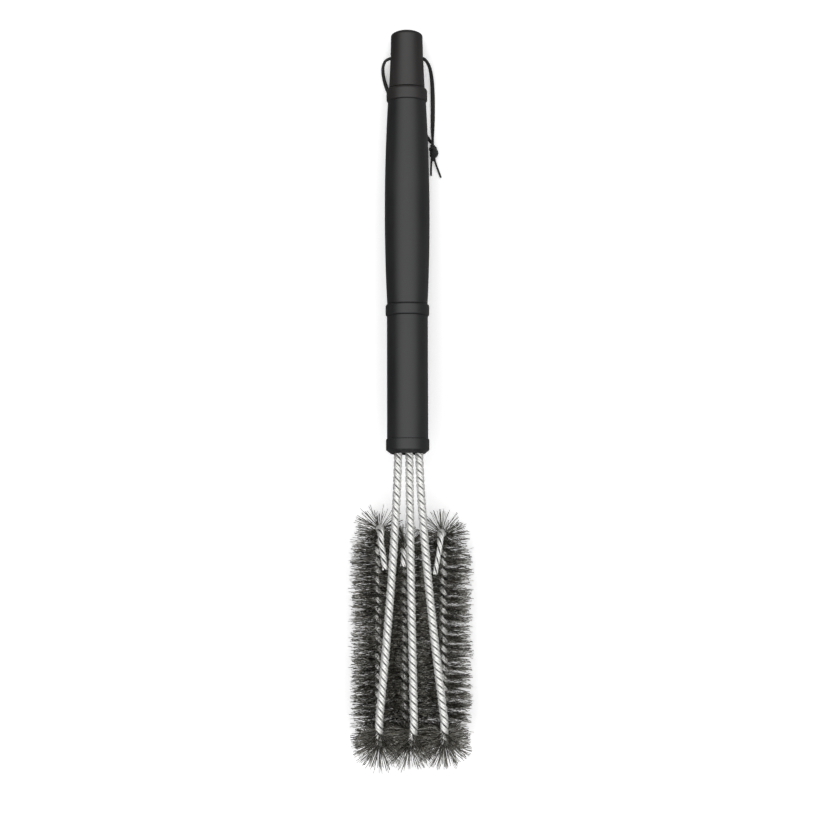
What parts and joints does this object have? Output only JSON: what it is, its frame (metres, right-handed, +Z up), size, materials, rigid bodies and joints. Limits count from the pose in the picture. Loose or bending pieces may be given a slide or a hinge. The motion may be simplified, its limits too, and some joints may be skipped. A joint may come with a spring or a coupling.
{
  "type": "grill cleaning brush",
  "caption": "Long-handled scrubbing brush for a barbecue grate: parallel twisted-wire brushes that turn back under their stems, on a round swelled handle with a hanging cord.",
  "frame": {"origin": "on the surface that the brush lies on, at the middle of the outline of the brush without its cord", "axes": "+Y along the brush from the bristled head to the end cap, +X across the head, +Z up from the surface through the handle"},
  "size_m": [0.0738, 0.4526, 0.061],
  "materials": {
    "cap_plastic": "matte",
    "grip_plastic": "satin",
    "tube_metal": "drawn",
    "plug_plastic": "matte",
    "bright_wire": "bright drawn wire",
    "bristle": "satin filament",
    "cord": "woven"
  },
  "bodies": {
    "root": {"end_cap": "cap_plastic", "cap_ring": "cap_plastic", "grip": "grip_plastic", "middle_ring": "grip_plastic", "front_sleeve": "grip_plastic", "front_collar": "grip_plastic", "core_tube": "tube_metal", "wire_plug": "plug_plastic", "left_wire": "bright_wire", "middle_wire": "bright_wire", "right_wire": "bright_wire", "left_bristles": "bristle", "middle_bristles": "bristle", "right_bristles": "bristle", "left_far_tuft": "bristle", "middle_far_tuft": "bristle", "right_far_tuft": "bristle", "left_near_tuft": "bristle", "middle_near_tuft": "bristle", "right_near_tuft": "bristle", "hang_cord_left": "cord", "hang_cord_right": "cord", "cord_knot": "cord", "cord_tail_inner": "cord", "cord_tail_outer": "cord"}
  },
  "joints": []
}
